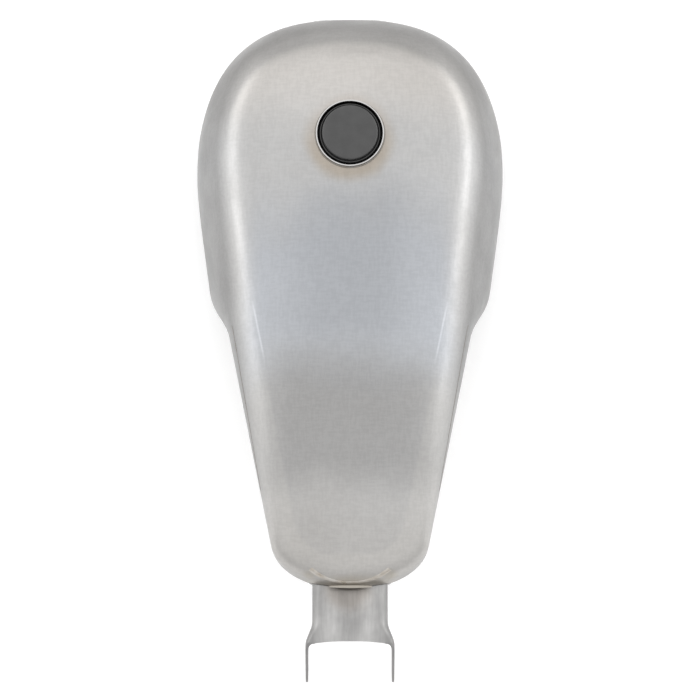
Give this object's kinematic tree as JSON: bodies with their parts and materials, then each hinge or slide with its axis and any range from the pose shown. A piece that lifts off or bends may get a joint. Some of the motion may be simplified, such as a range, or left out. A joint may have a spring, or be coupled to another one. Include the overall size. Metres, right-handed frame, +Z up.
{
  "type": "fuel tank",
  "caption": "Bare steel stretched fuel tank for a motorcycle, with side lobes over a frame tunnel, a pop-up screw cap and a rear mounting bracket with two ears.",
  "frame": {"origin": "middle of the overall length and width, on the level of the two lobes' flat bottoms", "axes": "+Y towards the nose (front), +X to the right when looking forwards from the tail, +Z up"},
  "size_m": [0.314, 0.667, 0.2125],
  "materials": {
    "body_steel": "bare sheet steel, finely ground, with heat tint beside the welds",
    "inner_steel": "bare mill finish sheet",
    "bracket_steel": "bare pressed plate, darker, with heat tint near the weld",
    "machined_steel": "turned and bare",
    "cap_black": "black anodised, satin gloss",
    "knob_black": "dark grey-black anodised, satin",
    "gasket_rubber": "matt",
    "washer_plastic": "waxy, off-white",
    "spring_steel": "drawn wire, bright",
    "brass": "turned"
  },
  "bodies": {
    "tank": {"top_panel": "body_steel", "left_side_shell": "body_steel", "right_side_shell": "body_steel", "left_bottom_pan": "body_steel", "right_bottom_pan": "body_steel", "tunnel": "body_steel", "front_baffle": "inner_steel", "rear_baffle": "inner_steel", "filler_neck": "machined_steel", "petcock_bung": "machined_steel", "crossover_nipples": "machined_steel", "front_mount_left": "bracket_steel", "front_mount_right": "bracket_steel", "rear_bracket_web": "bracket_steel", "rear_bracket_left_ear": "bracket_steel", "rear_bracket_right_ear": "bracket_steel"},
    "gasket": {"cap_gasket": "gasket_rubber"},
    "washer": {"slip_washer": "washer_plastic"},
    "cap": {"cap_body": "cap_black", "vent_valve": "brass", "knob_retainer": "spring_steel", "knob_spring": "spring_steel"},
    "knob": {"knob": "knob_black"}
  },
  "joints": [
    {"name": "cap_lift", "type": "slide", "parent": "tank", "child": "gasket", "axis": [0, 0, 1], "range_m": [0, 0.12]},
    {"name": "cap_rise", "type": "slide", "parent": "gasket", "child": "washer", "axis": [0, 0, 1], "range_m": [0, 0.009]},
    {"name": "cap_turn", "type": "hinge", "parent": "washer", "child": "cap", "pos_m": [0, 0.1915, 0.20592], "axis": [0, 0, 1], "range_deg": [0, 1080]},
    {"name": "knob_pop", "type": "slide", "parent": "cap", "child": "knob", "axis": [0, 0, 1], "range_m": [0, 0.01], "deforming": ["knob_spring"]}
  ],
  "couplings": [
    {"joint": "cap_rise", "follows": "cap_turn", "m_per_rad": 0.000477}
  ]
}
